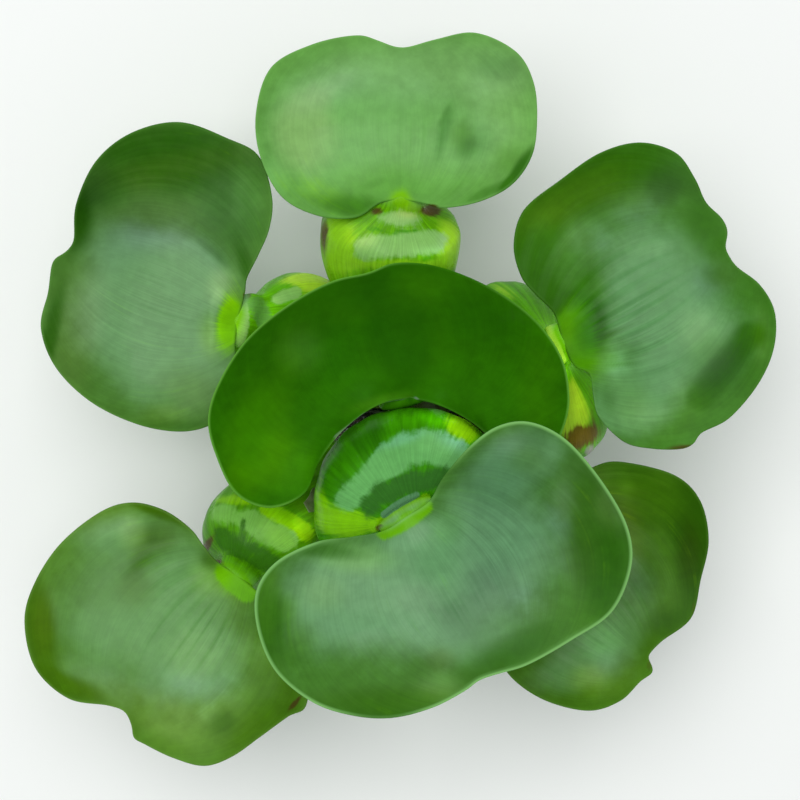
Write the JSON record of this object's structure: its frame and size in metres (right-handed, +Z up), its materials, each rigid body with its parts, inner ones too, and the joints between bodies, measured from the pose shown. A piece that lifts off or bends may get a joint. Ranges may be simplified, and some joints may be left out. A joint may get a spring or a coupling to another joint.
{
  "type": "water hyacinth plant",
  "caption": "Floating pond plant lifted out of the water: a rosette of kidney shaped leaves on swollen spongy stalks, over a mop of dark feathery roots.",
  "frame": {"origin": "on the surface that the plant rests on, under the middle of its crown", "axes": "+Z up out of the rosette, +Y towards the leaf that is at the top of the picture, +X to the picture's right"},
  "size_m": [0.1831, 0.1793, 0.1042],
  "materials": {
    "blade": "waxy leaf, satin to glossy, with fine veins",
    "float": "smooth glossy skin over spongy tissue, streaked lengthwise",
    "crown": "fleshy stem, matt",
    "roots": "fine feathery fibres, matt, purple black",
    "sheath": "thin papery membrane"
  },
  "bodies": {
    "root": {"blade_north": "blade", "blade_northeast": "blade", "blade_southeast": "blade", "blade_southwest": "blade", "blade_northwest": "blade", "blade_inner_north": "blade", "blade_inner_south": "blade", "float_north": "float", "float_northeast": "float", "float_southeast": "float", "float_southwest": "float", "float_northwest": "float", "float_inner_north": "float", "float_inner_south": "float", "crown": "crown", "root_mass": "roots", "sheath": "sheath"}
  },
  "joints": []
}
